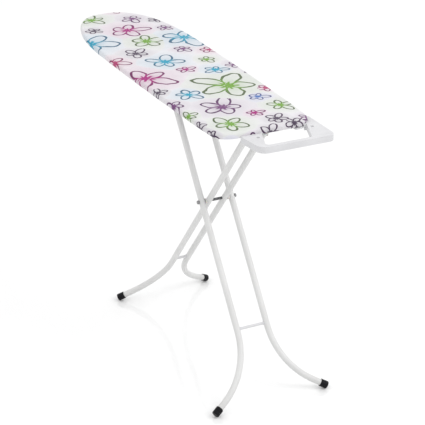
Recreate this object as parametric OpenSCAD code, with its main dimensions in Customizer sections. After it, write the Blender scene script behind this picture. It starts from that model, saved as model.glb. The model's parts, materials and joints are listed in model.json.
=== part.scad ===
// Folding ironing board: perforated steel deck, padded cotton cover, two crossed
// tube frames and an open iron rest at the heel.
// Millimetres, +Z up, +X towards the iron rest, +Y is the left-hand side. The origin
// is on the floor under the middle of the board.

/* [Board] */
// Overall length, from the nose of the cover to the outside of the iron rest
board_l = 1222; // [1210:1:1240]
// Working height, from the floor to the top of the cover
board_h = 804; // [800:1:830]
// Width of the cover at its widest
cover_w = 311; // [304:1:320]
// Length of the rounded nose, back to the widest place
nose_l = 400; // [380:1:420]
// Fullness of the nose curve: 2 is an ellipse, more is squarer
nose_power = 2.5; // [2.2:0.05:2.8]
// How far each side draws in between the widest place and the heel
heel_taper = 15; // [10:1:18]
// From the heel edge of the cover to the outside of the iron rest
rest_reach = 95; // [93:1:100]
// Radius of the cover's two heel corners
heel_r = 50; // [46:1:56]

/* [Deck and cover] */
// Thickness of the cotton cover
cover_t = 1.5; // [1.2:0.1:1.8]
// Thickness of the felt pad
pad_t = 5; // [4:0.5:6]
// Thickness of the deck's steel sheet
deck_t = 1; // [0.8:0.1:1.2]
// Height of the cover's side, top to hem
skirt_h = 18; // [17:1:20]
// How far the hem reaches in under the board
hem_w = 16; // [12:1:18]
// Diameter of the deck's steam holes
hole_d = 22; // [18:1:26]
// Spacing of the steam holes
hole_pitch = 50; // [46:1:60]

/* [Leg frames] */
// Distance of the crossing pivot from the middle of the board
pivot_x = 218; // [212:1:224]
// Height of the crossing pivot
pivot_h = 481; // [470:1:490]
// Steepness of the inner frame
inner_angle = 50; // [49:0.1:51]
// Steepness of the outer frame
outer_angle = 53.4; // [52.5:0.1:54]
// Outer diameter of the leg tubes
tube_d = 18; // [17:0.5:18]
// Wall thickness of the leg tubes
tube_wall = 1.2; // [1:0.1:1.5]
// Inner frame: from the middle plane to the tube's centre line
inner_y = 25; // [25:0.5:26]
// Outer frame: from the middle plane to the tube's centre line
outer_y = 46.5; // [46.5:0.5:48]
// Radius of the bend above each foot
bend_r = 220; // [200:5:240]
// Angle through which the foot bends outwards
bend_angle = 55; // [50:1:60]
// Straight length between the bend and the tip of the foot
foot_run = 44; // [40:1:48]
// Diameter of the foot caps
foot_d = 22; // [21:0.5:24]
// Length of the foot caps
foot_l = 23; // [21:1:26]
// Diameter of the pivot, hinge and slide rods
rod_d = 8; // [7:0.5:8]
// Height of the outer frame's crossbar
outer_bar_h = 180; // [177:1:184]
// Height of the inner frame's crossbar
inner_bar_h = 184; // [178:1:190]

/* [Iron rest] */
// Width of the rest's top rail
rail_w = 13; // [11:1:15]
// Height of the rest's turned-down edge
rail_h = 18; // [16:1:20]
// Depth of the rest's top face below the top of the cover
rest_drop = 12; // [10:1:13]
// Radius of the two sockets for an iron-flex holder
socket_r = 4.5; // [4:0.5:5]

/* [Hidden] */
$fn = 48;

LEFT = 1;
RIGHT = -1;
SIDES = [LEFT, RIGHT];
running_gap = 0.08;
eps = 0.01;

// Board outline, along X
nose_x = -board_l / 2;
rest_x = board_l / 2;
heel_x = rest_x - rest_reach;
wide_x = nose_x + nose_l;
nose_steps = 36;
side_steps = 10;
corner_steps = 8;

// Levels, from the top down
pad_top = board_h - cover_t;
deck_top = pad_top - pad_t;
deck_low = deck_top - deck_t;
hem_low = board_h - skirt_h;
rim_low = hem_low + cover_t + 1;
cover_gap = 4;
rim_t = 1.5;
lip_w = 6;
plate_t = 2;
// From the top of the cover down to the hinge and slide rods
rod_drop = 47;
leg_top = board_h - rod_drop;

// Leg frames
tube_r = tube_d / 2;
rod_r = rod_d / 2;
foot_r = foot_d / 2;
foot_round = 3;
foot_floor = 5;
tail = 12;
plug_l = 6;
rise = leg_top - pivot_h;
hinge_x = pivot_x + rise / tan(inner_angle);
slide_x = pivot_x - rise / tan(outer_angle);
// How far the foot tip's centre stands above the floor at a given leg steepness
function foot_tip_h(angle) =
    let (dip = cos(bend_angle) * sin(angle))
    (foot_r - foot_round) * sqrt(1 - dip * dip) + foot_round * (1 - dip);
// Length of a leg from its top pivot to its foot tip, along the straight part
function leg_reach(angle) = (leg_top - foot_tip_h(angle)) / sin(angle);
bend_drop = bend_r * sin(bend_angle) + foot_run * cos(bend_angle);
pivot_to_hinge = rise / sin(inner_angle);
pivot_to_slide = rise / sin(outer_angle);
// Where the slide rod ends up when the frames lie flat
slide_x_flat = hinge_x - pivot_to_hinge - pivot_to_slide;

// Guide channel
wall_in = 11;
wall_out = 13;
slot_half = rod_r + 3.2;
channel_low = leg_top - 15;
channel_x0 = slide_x_flat - 22;
channel_step_x = slide_x + 36;
channel_x1 = slide_x + 86;
step_low = leg_top - 5;
flange_y = 24;
notch_r = 5;
notch_pitch = 30;
notch_count = 5;

// Release lever, on the right-hand side of the channel
lever_x0 = slide_x + 40;
lever_x1 = lever_x0 + 16;
lever_y = -20;
lever_z = leg_top + 11;
lever_pin_r = 2;
lug_t = 2;
lug_x0 = lever_x0 - 1 - lug_t;
lug_x1 = lever_x1 + 7;
arm_t = 3;
arm_end_y = -112;
arm_window = [lever_x1 - lever_x0 + 3, 16];

// Iron rest, as [x, y, corner radius] around the outside. It reaches past the cover's
// left-hand edge and stops short of its right-hand one.
rest_top = board_h - rest_drop;
rest_low = rest_top - rail_h;
rest_left_y = cover_w / 2 - 3.5;
rest_right_y = -66;
rest_shape = [[heel_x - 80, rest_left_y - 14, 1], [heel_x - 50, rest_left_y, 30],
              [rest_x, rest_left_y, 18], [rest_x, rest_right_y, 27],
              [heel_x - 10, rest_right_y - 12, 1], [heel_x - 80, rest_right_y + 40, 1]];
opening_shape = [[heel_x - 4, 120, 1], [rest_x - rail_w, 88, 9],
                 [rest_x - rail_w, -46, 9], [heel_x - 4, -14, 1]];
wall_t = 1.6;
tongue_t = 3;
tongue_w = 32;
tongue_l = 66;
tongue_low = hem_low - tongue_t - 0.5;
tongues_at = [100, -46];
socket_wall = 1.5;
sockets_at = [[heel_x + 18, 124], [heel_x + 26, -39]];
rest_screw_x = heel_x - 52;
screw_r = 2.5;
spacer_r = 11;

// ---- outlines ---------------------------------------------------------------

// Half width of the cover at x, before the heel corners are rounded
function half_width(x) = x < wide_x
    ? cover_w / 2 * pow(1 - pow((wide_x - x) / nose_l, nose_power), 1 / nose_power)
    : cover_w / 2 - heel_taper * pow((x - wide_x) / (heel_x - wide_x), 2);

// Left side of the outline from nose to heel, drawn in by d
function board_side(d) =
    let (a = nose_l - d, heel_half = cover_w / 2 - heel_taper - d, r = heel_r - d)
    concat(
        [for (i = [1 : nose_steps - 1])
            let (t = 90 * i / nose_steps)
            [wide_x - a * pow(cos(t), 2 / nose_power),
             (cover_w / 2 - d) * pow(sin(t), 2 / nose_power)]],
        [for (i = [0 : side_steps - 1])
            let (x = wide_x + (heel_x - heel_r - wide_x) * i / side_steps)
            [x, half_width(x) - d]],
        [for (i = [0 : corner_steps])
            let (t = 90 - 90 * i / corner_steps)
            [heel_x - heel_r + r * cos(t), heel_half - r + r * sin(t)]]);

// Whole outline of the board, drawn in by d (grown where d is negative)
module board_outline(d = 0) {
    side = board_side(d);
    n = len(side);
    polygon(concat([[nose_x + d, 0]], side,
                   [for (i = [n - 1 : -1 : 0]) [side[i].x, -side[i].y]]));
}

// Band between the outline drawn in by d and by d + w
module board_band(d, w) {
    difference() {
        board_outline(d);
        board_outline(d + w);
    }
}

function unit(v) = v / norm(v);
function left_normal(p, q) = let (u = unit([q.x - p.x, q.y - p.y])) [-u.y, u.x];

// Corners [x, y, r] of a shape moved in by d; r shrinks with it. Clockwise order.
function moved_in(v, d) =
    let (n = len(v))
    [for (i = [0 : n - 1])
        let (n1 = left_normal(v[(i + n - 1) % n], v[i]), n2 = left_normal(v[i], v[(i + 1) % n]),
             s = -d / (1 + n1 * n2))
        [v[i].x + s * (n1 + n2).x, v[i].y + s * (n1 + n2).y, max(v[i].z - d, 0.5)]];

// Outline of a shape given as [x, y, r] corners, each rounded by an arc. Clockwise order.
function rounded(v, steps = 6) =
    let (n = len(v))
    [for (i = [0 : n - 1])
        let (b = [v[i].x, v[i].y], a = v[(i + n - 1) % n], c = v[(i + 1) % n],
             ua = unit([a.x, a.y] - b), uc = unit([c.x, c.y] - b),
             half = acos(ua * uc) / 2, mid = unit(ua + uc),
             centre = b + mid * v[i].z / sin(half), sweep = 90 - half,
             out = atan2(-mid.y, -mid.x))
        for (k = [0 : steps])
            let (t = out + sweep * (1 - 2 * k / steps))
            centre + v[i].z * [cos(t), sin(t)]];

// ---- board ------------------------------------------------------------------

module cover() {
    color("white") {
        translate([0, 0, pad_top]) linear_extrude(cover_t) board_outline();
        translate([0, 0, hem_low]) linear_extrude(pad_top - hem_low) board_band(0, cover_t);
        translate([0, 0, hem_low]) linear_extrude(cover_t) board_band(cover_t, hem_w - cover_t);
    }
}

module pad() {
    color("lightgray") translate([0, 0, deck_top]) linear_extrude(pad_t)
        board_outline(cover_t + 0.5);
}

hole_rows = floor(cover_w / hole_pitch / cos(30) / 2) - 1;
hole_margin = hole_d / 2 + 16;

module steam_holes() {
    columns = ceil(board_l / hole_pitch / 2);
    for (row = [-hole_rows : hole_rows], col = [-columns : columns]) {
        x = (col + (row % 2 == 0 ? 0 : 0.5)) * hole_pitch;
        y = row * hole_pitch * cos(30);
        on_deck = x > nose_x + hole_margin && x < heel_x - hole_margin;
        room = on_deck ? min(half_width(x - hole_d / 2), half_width(x + hole_d / 2)) : 0;
        over_channel = abs(y) < 1 && x > channel_x0 - hole_d && x < channel_x1 + hole_d;
        over_bracket = abs(y) < 1 && abs(x - hinge_x) < 60;
        if (on_deck && abs(y) < room - hole_margin && !over_channel && !over_bracket)
            translate([x, y]) circle(d = hole_d);
    }
}

module deck_sheet() {
    color("gainsboro") translate([0, 0, deck_low]) linear_extrude(deck_t) difference() {
        board_outline(cover_gap);
        steam_holes();
    }
}

module deck_rim() {
    color("gainsboro") {
        translate([0, 0, rim_low]) linear_extrude(deck_low - rim_low)
            board_band(cover_gap, rim_t);
        translate([0, 0, rim_low]) linear_extrude(rim_t)
            board_band(cover_gap + rim_t, lip_w);
    }
}

// Middles of the steel channels across the deck, clear of the guide and the hinge
brace_at = [-460, -310, 165, 365];
brace_w = 30;
brace_h = deck_low - rim_low - rim_t - 0.5;

module cross_braces() {
    color("gainsboro") for (x = brace_at) {
        half = half_width(x < wide_x ? x - brace_w / 2 : x + brace_w / 2) - cover_gap - rim_t - 1;
        translate([x - brace_w / 2, -half, deck_low - brace_h]) difference() {
            cube([brace_w, 2 * half, brace_h]);
            translate([plate_t, -1, -1])
                cube([brace_w - 2 * plate_t, 2 * half + 2, brace_h - plate_t + 1]);
        }
    }
}

// A plate standing across Y between y0 and y1, from a flat XZ shape
module across(y0, y1) {
    translate([0, y1, 0]) rotate([90, 0, 0]) linear_extrude(y1 - y0) children();
}

module guide_slot() {
    x0 = slide_x_flat - 2.5;
    x1 = slide_x + 2.5;
    translate([x0, leg_top - slot_half]) square([x1 - x0, 2 * slot_half]);
    translate([x0, leg_top]) circle(slot_half);
    translate([x1, leg_top]) circle(slot_half);
    for (i = [0 : notch_count - 1])
        translate([slide_x - i * notch_pitch, leg_top + slot_half - 1.5]) circle(notch_r);
}

module channel_wall() {
    difference() {
        union() {
            translate([channel_x0, channel_low])
                square([channel_step_x - channel_x0, deck_low - plate_t - channel_low]);
            translate([channel_step_x - eps, step_low])
                square([channel_x1 - channel_step_x + eps, deck_low - plate_t - step_low]);
        }
        guide_slot();
    }
}

module guide_channel() {
    color("gainsboro") {
        translate([channel_x0, -flange_y, deck_low - plate_t])
            cube([channel_x1 - channel_x0, 2 * flange_y, plate_t]);
        across(wall_in, wall_out) channel_wall();
        across(-wall_out, -wall_in) difference() {
            channel_wall();
            translate([lever_x0 - 1.5, lever_z - arm_window.y / 2]) square(arm_window);
        }
        for (x = [lug_x0, lug_x1]) difference() {
            translate([x, lever_y - 7, lever_z - 7]) cube([lug_t, 7 - lever_y - wall_out, 14]);
            translate([x - 1, lever_y, lever_z]) rotate([0, 90, 0])
                cylinder(r = lever_pin_r, h = lug_t + 2);
        }
    }
}

bracket_half = 36;
ear_half = 15;

module hinge_bracket() {
    color("gainsboro") {
        translate([hinge_x - bracket_half, -flange_y - 6, deck_low - plate_t])
            cube([2 * bracket_half, 2 * flange_y + 12, plate_t]);
        for (y = [wall_in, -wall_out]) across(y, y + wall_out - wall_in) difference() {
            union() {
                translate([hinge_x - ear_half, leg_top])
                    square([2 * ear_half, deck_low - plate_t - leg_top]);
                translate([hinge_x, leg_top]) circle(ear_half);
            }
            translate([hinge_x, leg_top]) circle(rod_r);
        }
    }
}

// A rod along Y at (x, z), reaching half to each side
module cross_rod(x, z, half, r) {
    translate([x, half, z]) rotate([90, 0, 0]) cylinder(r = r, h = 2 * half);
}

// A ring or disc around a rod along Y at (x, z), from y0 to y1 on both sides
module paired_ring(x, z, y0, y1, r_out, r_in) {
    for (side = SIDES) translate([x, side > 0 ? y1 : -y0, z]) rotate([90, 0, 0])
        difference() {
            cylinder(r = r_out, h = y1 - y0);
            translate([0, 0, -1]) cylinder(r = r_in, h = y1 - y0 + 2);
        }
}

// A domed push-on cap over the end of a rod along Y, y0 being its inner face
module paired_cap(x, z, y0, rod_end, length, r) {
    for (side = SIDES) mirror([0, side > 0 ? 0 : 1, 0]) translate([x, y0, z])
        rotate([-90, 0, 0]) difference() {
            rotate_extrude() {
                square([r - 1.5, length]);
                square([r, length - 1.5]);
                translate([r - 1.5, length - 1.5]) intersection() {
                    circle(1.5);
                    square(1.5);
                }
            }
            translate([0, 0, -1]) cylinder(r = rod_r, h = rod_end - y0 + 1);
        }
}

hinge_cap_y = inner_y + tube_r + 0.5;
hinge_half = hinge_cap_y + 1.6;

module hinge_rod() { color("silver") cross_rod(hinge_x, leg_top, hinge_half, rod_r); }

module hinge_washers() {
    color("white") paired_ring(hinge_x, leg_top, wall_out, inner_y - tube_r - 0.3, 9, rod_r);
}

module hinge_rod_caps() {
    color("dimgray") paired_cap(hinge_x, leg_top, hinge_cap_y, hinge_half, 2.4, 7);
}

// ---- iron rest --------------------------------------------------------------

module rest_outline(d = 0) { polygon(rounded(moved_in(rest_shape, d))); }
module rest_opening(d = 0) { polygon(rounded(moved_in(opening_shape, d))); }

module rest_plate() {
    difference() {
        rest_outline();
        rest_opening();
        board_outline(-1);
        for (p = sockets_at) translate(p) circle(socket_r);
    }
}

module rest_walls() {
    difference() {
        union() {
            difference() {
                rest_outline();
                rest_outline(wall_t);
            }
            difference() {
                rest_opening(-wall_t);
                rest_opening();
            }
        }
        board_outline(-1);
    }
}

// The wall that follows the cover's edge and carries the tongues
module cover_side_wall() {
    difference() {
        intersection() {
            rest_outline();
            board_band(-1 - wall_t, wall_t);
        }
        rest_opening();
    }
}

// A flat tongue under the board, its middle at y, screwed up through a spacer
module tongue(y) {
    difference() {
        intersection() {
            translate([heel_x - tongue_l, y - tongue_w / 2]) square([tongue_l + 4, tongue_w]);
            board_outline(-1 - wall_t);
        }
        translate([rest_screw_x, y]) circle(screw_r);
    }
}

module iron_rest() {
    color("whitesmoke") {
        translate([0, 0, rest_top - plate_t]) linear_extrude(plate_t) rest_plate();
        translate([0, 0, rest_low]) linear_extrude(rail_h - plate_t) rest_walls();
        translate([0, 0, tongue_low]) linear_extrude(rest_top - plate_t - tongue_low)
            cover_side_wall();
        for (p = sockets_at) translate([p.x, p.y, rest_low])
            linear_extrude(rail_h - plate_t) difference() {
                circle(socket_r + socket_wall);
                circle(socket_r);
            }
        for (y = tongues_at) translate([0, 0, tongue_low]) linear_extrude(tongue_t) tongue(y);
    }
}

module rest_spacers() {
    z0 = tongue_low + tongue_t;
    color("dimgray") for (y = tongues_at) translate([rest_screw_x, y, z0])
        linear_extrude(deck_low - z0) difference() {
            circle(spacer_r);
            circle(screw_r);
        }
}

head_h = 3;

module rest_screws() {
    color("silver") for (y = tongues_at) translate([rest_screw_x, y, tongue_low - head_h]) {
        difference() {
            cylinder(r1 = 4, r2 = 5, h = head_h);
            translate([0, 0, -1]) cylinder(r = 2.2, h = head_h - 0.4, $fn = 6);
        }
        cylinder(r = screw_r, h = head_h + deck_low - tongue_low - 1);
    }
}

// ---- release lever ----------------------------------------------------------

// A rod or ring along X through the lever's pin axis
module pin_line(x0, x1, r) {
    translate([x0, lever_y, lever_z]) rotate([0, 90, 0]) cylinder(r = r, h = x1 - x0);
}

finger_half = 4;

module release_lever() {
    color("silver") difference() {
        union() {
            pin_line(lever_x0, lever_x1, 5);
            translate([lever_x0, arm_end_y, lever_z - arm_t / 2])
                cube([lever_x1 - lever_x0, lever_y - arm_end_y, arm_t]);
            translate([lever_x0, lever_y, lever_z - arm_t / 2])
                cube([lever_x1 - lever_x0, finger_half - lever_y, arm_t]);
            translate([slide_x - 5, -finger_half, lever_z - arm_t / 2])
                cube([lever_x0 - slide_x + 6, 2 * finger_half, arm_t]);
        }
        pin_line(lever_x0 - 1, lever_x1 + 1, lever_pin_r + running_gap);
    }
}

grip_l = 44;
grip_h = 13;

module lever_grip() {
    color("dimgray") translate([lever_x0 - 3, arm_end_y - 3, lever_z - grip_h / 2]) difference() {
        hull() for (x = [5, lever_x1 - lever_x0 + 1], y = [5, grip_l - 5])
            translate([x, y, 0]) cylinder(r = 5, h = grip_h, $fn = 32);
        translate([3, 3, (grip_h - arm_t) / 2]) cube([lever_x1 - lever_x0, grip_l, arm_t]);
    }
}

module lever_pin() {
    color("silver") {
        pin_line(lug_x0 - 1.5, lug_x1 + lug_t + 1.5, lever_pin_r);
        pin_line(lug_x0 - 2.5, lug_x0, lever_pin_r + 1.2);
    }
}

coil_wire_r = 0.6;
coil_r = 3.2;
coil_turns = 5;
coil_pitch = 1.3;

module lever_spring() {
    x0 = lever_x1 + 0.4 + coil_wire_r;
    color("silver") for (i = [0 : coil_turns - 1])
        translate([x0 + i * coil_pitch, lever_y, lever_z]) rotate([0, 90, 0])
            rotate_extrude() translate([coil_r, 0]) circle(coil_wire_r);
}

// ---- leg frames -------------------------------------------------------------

// Stands children on a frame: local -Z runs down the leg from its top pivot.
module on_inner() {
    translate([hinge_x, 0, leg_top]) rotate([0, 90 - inner_angle, 0]) children();
}

module on_outer() {
    translate([slide_x, 0, leg_top]) rotate([0, outer_angle - 90, 0]) children();
}

// Places children at the end of the bend, local +Z towards the foot's tip
module at_bend_end(y, reach) {
    translate([0, y + bend_r, bend_drop - reach]) rotate([-90, 0, 0]) rotate([0, 90, 0])
        rotate([0, 0, bend_angle]) translate([bend_r, 0, 0]) rotate([-90, 0, 0]) children();
}

// The leg as a solid bar of radius r: straight, outward bend, straight run to the foot.
// A ball a hair wider than the bar joins the bend to the run.
module leg_bar(y, reach, r, over) {
    bend_z = bend_drop - reach;
    translate([0, y, bend_z]) cylinder(r = r, h = tail - bend_z + over);
    translate([0, y + bend_r, bend_z]) rotate([-90, 0, 0]) rotate([0, 90, 0])
        rotate_extrude(angle = bend_angle, $fn = 96) translate([bend_r, 0]) circle(r);
    at_bend_end(y, reach) {
        sphere(r + eps);
        cylinder(r = r, h = foot_run - foot_floor + over);
    }
}

// A hollow leg on the given side, with holes for the top rod, the pivot and the crossbar
module leg(side, y, angle, top_hole_r, pivot_hole_r, bar_h) {
    reach = leg_reach(angle);
    mirror([0, side > 0 ? 0 : 1, 0]) difference() {
        leg_bar(y, reach, tube_r, 0);
        leg_bar(y, reach, tube_r - tube_wall, 1);
        cross_rod_stub(0, y, top_hole_r);
        cross_rod_stub(-rise / sin(angle), y, pivot_hole_r);
        translate([0, y, -(leg_top - bar_h) / sin(angle)]) rotate([90, 0, 0])
            cylinder(r = rod_r, h = tube_d);
    }
}

// Cutter for a cross hole through one tube at height z on the leg
module cross_rod_stub(z, y, r) {
    translate([0, y + tube_d, z]) rotate([90, 0, 0]) cylinder(r = r, h = 2 * tube_d);
}

module leg_crossbar(y, angle, bar_h) {
    cross_rod(0, -(leg_top - bar_h) / sin(angle), y, rod_r);
}

module leg_plugs(y) {
    for (side = SIDES) translate([0, side * y, tail]) {
        translate([0, 0, -plug_l]) cylinder(r = tube_r - tube_wall, h = plug_l);
        cylinder(r1 = tube_r, r2 = tube_r - 1, h = 1.5);
    }
}

module foot_cap(side, y, angle) {
    mirror([0, side > 0 ? 0 : 1, 0]) at_bend_end(y, leg_reach(angle))
        translate([0, 0, foot_run]) mirror([0, 0, 1]) difference() {
            rotate_extrude() {
                translate([0, foot_round]) square([foot_r, foot_l - foot_round]);
                square([foot_r - foot_round, foot_round]);
                translate([foot_r - foot_round, foot_round]) circle(foot_round);
            }
            translate([0, 0, foot_floor]) cylinder(r = tube_r, h = foot_l);
        }
}

module inner_leg_left() {
    color("silver") on_inner()
        leg(LEFT, inner_y, inner_angle, rod_r + running_gap, rod_r, inner_bar_h);
}

module inner_leg_right() {
    color("silver") on_inner()
        leg(RIGHT, inner_y, inner_angle, rod_r + running_gap, rod_r, inner_bar_h);
}

module inner_crossbar() {
    color("whitesmoke") on_inner() leg_crossbar(inner_y, inner_angle, inner_bar_h);
}

module inner_leg_plugs() { color("dimgray") on_inner() leg_plugs(inner_y); }
module inner_foot_left() { color("#202020") on_inner() foot_cap(LEFT, inner_y, inner_angle); }
module inner_foot_right() { color("#202020") on_inner() foot_cap(RIGHT, inner_y, inner_angle); }

pivot_cap_y = outer_y + tube_r + 0.6;
pivot_half = pivot_cap_y + 3.4;

module pivot_axle() { color("dimgray") cross_rod(pivot_x, pivot_h, pivot_half, rod_r); }

module pivot_caps() {
    color("#303030") paired_cap(pivot_x, pivot_h, pivot_cap_y, pivot_half, 5, 5.5);
}

module pivot_spacers() {
    color("white") paired_ring(pivot_x, pivot_h, inner_y + tube_r + 0.1,
                               outer_y - tube_r - 0.4, 8, rod_r);
}

module outer_leg_left() {
    color("silver") on_outer()
        leg(LEFT, outer_y, outer_angle, rod_r, rod_r + running_gap, outer_bar_h);
}

module outer_leg_right() {
    color("silver") on_outer()
        leg(RIGHT, outer_y, outer_angle, rod_r, rod_r + running_gap, outer_bar_h);
}

module outer_crossbar() {
    color("whitesmoke") on_outer() leg_crossbar(outer_y, outer_angle, outer_bar_h);
}

module outer_leg_plugs() { color("dimgray") on_outer() leg_plugs(outer_y); }
module outer_foot_left() { color("#202020") on_outer() foot_cap(LEFT, outer_y, outer_angle); }
module outer_foot_right() { color("#202020") on_outer() foot_cap(RIGHT, outer_y, outer_angle); }

slide_cap_y = outer_y + tube_r + 0.1;
slide_half = slide_cap_y + 2.4;

module slide_rod() { color("silver") cross_rod(slide_x, leg_top, slide_half, rod_r); }

module slide_bushes() {
    color("white") paired_ring(slide_x, leg_top, wall_in - 5.5, wall_in - 0.6, 7, rod_r);
}

module slide_rod_caps() {
    color("dimgray") paired_cap(slide_x, leg_top, slide_cap_y, slide_half, 4, 6.5);
}

cover();
pad();
deck_sheet();
deck_rim();
cross_braces();
guide_channel();
hinge_bracket();
hinge_rod();
hinge_washers();
hinge_rod_caps();
iron_rest();
rest_spacers();
rest_screws();
release_lever();
lever_grip();
lever_pin();
lever_spring();
inner_leg_left();
inner_leg_right();
inner_crossbar();
inner_leg_plugs();
inner_foot_left();
inner_foot_right();
pivot_axle();
pivot_caps();
pivot_spacers();
outer_leg_left();
outer_leg_right();
outer_crossbar();
outer_leg_plugs();
outer_foot_left();
outer_foot_right();
slide_rod();
slide_bushes();
slide_rod_caps();
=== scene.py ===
"""Looks of a folding ironing board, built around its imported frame.

The frame's steel parts stay as they are and get their finishes here. The cover, the
felt pad, the foot caps, the welds, the lever's grip and its spring are new pieces.
"""

import json
import math
from contextlib import contextmanager

import bmesh
import bpy
import numpy as np
from bpy.props import FloatProperty, FloatVectorProperty, IntProperty, PointerProperty
from mathutils import Matrix, Vector


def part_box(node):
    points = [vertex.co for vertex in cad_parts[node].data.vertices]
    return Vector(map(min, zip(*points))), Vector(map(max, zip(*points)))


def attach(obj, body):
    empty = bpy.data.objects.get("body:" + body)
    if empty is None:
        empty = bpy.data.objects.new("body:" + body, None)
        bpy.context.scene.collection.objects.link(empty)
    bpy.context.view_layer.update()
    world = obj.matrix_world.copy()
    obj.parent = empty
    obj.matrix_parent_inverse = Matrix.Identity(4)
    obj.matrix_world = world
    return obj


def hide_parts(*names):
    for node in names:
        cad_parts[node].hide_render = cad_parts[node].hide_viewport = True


bl_info = {
    "name": "Folding ironing board",
    "version": (1, 0, 0),
    "blender": (4, 5, 0),
    "location": "3D View > Sidebar > Ironing board",
    "description": "Builds the cover, pad, feet, welds and finishes of an ironing board",
    "category": "Object",
}

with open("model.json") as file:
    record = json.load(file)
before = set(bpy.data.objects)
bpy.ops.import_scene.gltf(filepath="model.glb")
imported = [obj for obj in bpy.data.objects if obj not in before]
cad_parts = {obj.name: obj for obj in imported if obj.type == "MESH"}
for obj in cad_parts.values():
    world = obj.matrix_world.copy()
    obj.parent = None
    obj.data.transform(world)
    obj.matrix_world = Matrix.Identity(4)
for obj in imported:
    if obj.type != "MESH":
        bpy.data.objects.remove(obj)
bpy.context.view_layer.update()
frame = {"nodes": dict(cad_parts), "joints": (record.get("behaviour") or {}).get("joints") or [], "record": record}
SIDES = (1, -1)
UP = np.array([0.0, 0.0, 1.0])
FULL_TURN = 2.0 * np.pi
MERGE_REACH = 1e-6
FLAT_REACH = 1e-4


def node_box(name):
    """Lowest and highest corners of a frame node as arrays."""
    low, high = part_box(name)
    return np.array(low), np.array(high)


def read(items, field, width, kind=np.float32):
    """One field of a mesh's items as an array, (n, width)."""
    flat = np.empty(len(items) * width, kind)
    items.foreach_get(field, flat)
    return flat.reshape(-1, width)


def node_points(name):
    """Every vertex of a frame node, (n, 3)."""
    return read(frame["nodes"][name].data.vertices, "co", 3).astype(float)


def joint_place(name):
    """Where a joint's axis stands, in metres."""
    joint = next(j for j in frame["joints"] if j["name"] == name)
    return np.array(joint["pos_m"], float)


COVER_LOW, COVER_HIGH = node_box("cover")
PAD_LOW, PAD_HIGH = node_box("pad")
HINGE = joint_place("leg_fold")
PIVOT = joint_place("leg_scissor")
LEVER_PIN = joint_place("release_lever")


# ---- settings ------------


def length(name, description, default):
    """A length in metres that a user may change."""
    return FloatProperty(
        name=name, description=description, default=default, min=0.0, max=1.0,
        unit="LENGTH", precision=4,
    )


def colour(name, description, default):
    """A colour, given as scene-linear red, green and blue."""
    return FloatVectorProperty(
        name=name, description=description, default=default, min=0.0, max=1.0,
        size=3, subtype="COLOR",
    )


def count(name, description, default, low, high):
    """A whole number between low and high."""
    return IntProperty(name=name, description=description, default=default, min=low, max=high)


def turn_angle(name, description, degrees):
    """An angle, given in degrees and kept in radians."""
    return FloatProperty(
        name=name, description=description, default=math.radians(degrees), subtype="ANGLE",
    )


class CoverSettings(bpy.types.PropertyGroup):
    """Sizes of the cotton cover."""

    edge: length("Edge radius", "Radius where the cover turns over the pad's edge", 0.007)
    under: length("Under radius", "Radius where the cover turns in under the rim", 0.005)
    hem: length("Hem", "How far the hem reaches in under the board", 0.0145)
    casing: length("Casing radius", "Radius of the casing that holds the elastic", 0.0016)
    cloth: length("Cloth", "Thickness of the cotton with its foam backing", 0.0010)
    sink: length("Sink", "How far the top sinks towards its edge", 0.0010)
    pucker: length("Pucker", "Depth of the gathers along the elastic", 0.0012)
    pucker_pitch: length("Pucker pitch", "Spacing of the gathers", 0.019)
    around: count("Columns", "Columns of the mesh around the outline", 640, 200, 1200)
    across: count("Rows", "Rows of the mesh from the middle line to the edge", 30, 12, 60)


class PrintSettings(bpy.types.PropertyGroup):
    """Colours of the flower print."""

    cloth: colour("Cloth", "Bleached cotton ground", (0.765, 0.75, 0.775))
    magenta: colour("Magenta", "Magenta ink", (0.34, 0.0, 0.17))
    cyan: colour("Cyan", "Cyan ink", (0.005, 0.30, 0.45))
    lime: colour("Lime", "Lime ink", (0.15, 0.33, 0.03))
    plum: colour("Plum", "Plum ink", (0.16, 0.05, 0.17))
    blue: colour("Blue", "Blue ink", (0.05, 0.14, 0.42))
    rose: colour("Rose", "Rose ink", (0.40, 0.035, 0.14))
    ink: colour("Ink", "Near-black violet ink", (0.06, 0.04, 0.075))
    pen: length("Pen", "Half width of the drawn line on a flower of middling size", 0.0031)
    stitch: length("Stitch", "Length of one hem stitch", 0.0026)
    stitch_pitch: length("Stitch pitch", "Spacing of the hem stitches", 0.0038)
    thread: length("Thread", "Thickness of the hem thread", 0.0005)


class PadSettings(bpy.types.PropertyGroup):
    """Sizes of the felt pad."""

    edge: length("Edge radius", "Radius of the pad's cut edge", 0.0015)
    margin: length("Margin", "How far the pad stops short of the cover's outline", 0.0055)
    felt: colour("Felt", "Undyed needled felt", (0.47, 0.46, 0.44))


class SteelSettings(bpy.types.PropertyGroup):
    """Colours of the steel and plastic parts."""

    legs: colour("Legs", "White enamel on the leg tubes", (0.69, 0.69, 0.685))
    deck: colour("Deck", "White powder coat on the deck", (0.70, 0.70, 0.71))
    rest: colour("Iron rest", "White powder coat on the iron rest", (0.655, 0.655, 0.67))
    zinc: colour("Zinc", "Zinc-plated rods and screws", (0.56, 0.56, 0.58))
    black: colour("Black", "Black moulded plastic", (0.004, 0.004, 0.006))
    grey: colour("Grey", "Grey moulded plastic", (0.27, 0.27, 0.275))
    axle: colour("Axle", "Blackened steel of the pivot axle", (0.10, 0.10, 0.105))
    nylon: colour("Nylon", "Natural nylon washers", (0.72, 0.71, 0.68))
    bead: length("Weld bead", "Radius of a weld bead", 0.0012)
    edge: length("Edge break", "Radius of the broken edges of the iron rest", 0.0009)


class FootSettings(bpy.types.PropertyGroup):
    """Sizes of the foot caps."""

    groove: length("Groove", "Depth of the grooves around a foot cap", 0.0007)
    grooves: count("Grooves", "Number of grooves around a foot cap", 3, 0, 6)


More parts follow.
